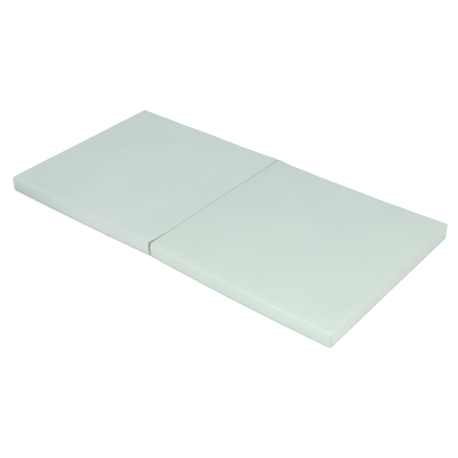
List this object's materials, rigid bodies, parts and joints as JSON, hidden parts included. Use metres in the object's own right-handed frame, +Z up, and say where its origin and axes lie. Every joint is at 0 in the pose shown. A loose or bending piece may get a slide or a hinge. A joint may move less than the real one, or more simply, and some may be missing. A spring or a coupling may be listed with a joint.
{
  "type": "folding mattress",
  "caption": "Thin rectangular foam mattress in a wipe-clean zipped cover, in equal square panels that fold over one another along a strip across the middle.",
  "frame": {"origin": "on the surface that the mattress rests on, midway along the fold line", "axes": "+X along the length from the head panel to the foot panel, +Y across the width towards the zips, +Z up"},
  "size_m": [1.2, 0.6043, 0.05],
  "materials": {
    "cover": "pale grey-green polyurethane-coated knit, matt with a faint grain",
    "foam": "open-cell polyurethane foam, off-white",
    "zip_tape": "woven polyester tape, matched to the cover",
    "zip_coil": "nylon coil, matched to the cover",
    "zip_metal": "zinc casting, enamelled to match the cover"
  },
  "bodies": {
    "head_panel": {"head_foam_core": "foam", "head_top_cover": "cover", "head_underside_cover": "cover", "head_front_wall": "cover", "head_end_wall": "cover", "head_inner_wall": "cover", "head_back_wall_upper": "cover", "head_back_wall_lower": "cover", "head_zip_tape_upper": "zip_tape", "head_zip_coil_upper": "zip_coil", "head_zip_tape_lower": "zip_tape", "head_zip_coil_lower": "zip_coil", "head_zip_end_stops": "zip_metal", "hinge_strip": "cover"},
    "foot_panel": {"foot_foam_core": "foam", "foot_top_cover": "cover", "foot_underside_cover": "cover", "foot_front_wall": "cover", "foot_end_wall": "cover", "foot_inner_wall": "cover", "foot_back_wall_upper": "cover", "foot_back_wall_lower": "cover", "foot_zip_tape_upper": "zip_tape", "foot_zip_coil_upper": "zip_coil", "foot_zip_tape_lower": "zip_tape", "foot_zip_coil_lower": "zip_coil", "foot_zip_end_stops": "zip_metal"},
    "head_zip_slider": {"head_zip_slider": "zip_metal"},
    "foot_zip_slider": {"foot_zip_slider": "zip_metal"},
    "head_zip_pull_tab": {"head_zip_pull_tab": "zip_metal"},
    "foot_zip_pull_tab": {"foot_zip_pull_tab": "zip_metal"}
  },
  "joints": [
    {"name": "fold", "type": "hinge", "parent": "head_panel", "child": "foot_panel", "pos_m": [0, 0, 0.05025], "axis": [0, -1, 0], "range_deg": [0, 180], "deforming": ["hinge_strip"]},
    {"name": "head_zip_slide", "type": "slide", "parent": "head_panel", "child": "head_zip_slider", "axis": [1, 0, 0], "range_m": [0, 0.516]},
    {"name": "head_pull_tab_turn", "type": "hinge", "parent": "head_zip_slider", "child": "head_zip_pull_tab", "pos_m": [-0.558, 0.3026, 0.025], "axis": [0, 0, 1], "range_deg": [0, 175]},
    {"name": "foot_zip_slide", "type": "slide", "parent": "foot_panel", "child": "foot_zip_slider", "axis": [-1, 0, 0], "range_m": [0, 0.516]},
    {"name": "foot_pull_tab_turn", "type": "hinge", "parent": "foot_zip_slider", "child": "foot_zip_pull_tab", "pos_m": [0.558, 0.3026, 0.025], "axis": [0, 0, -1], "range_deg": [0, 175]}
  ]
}
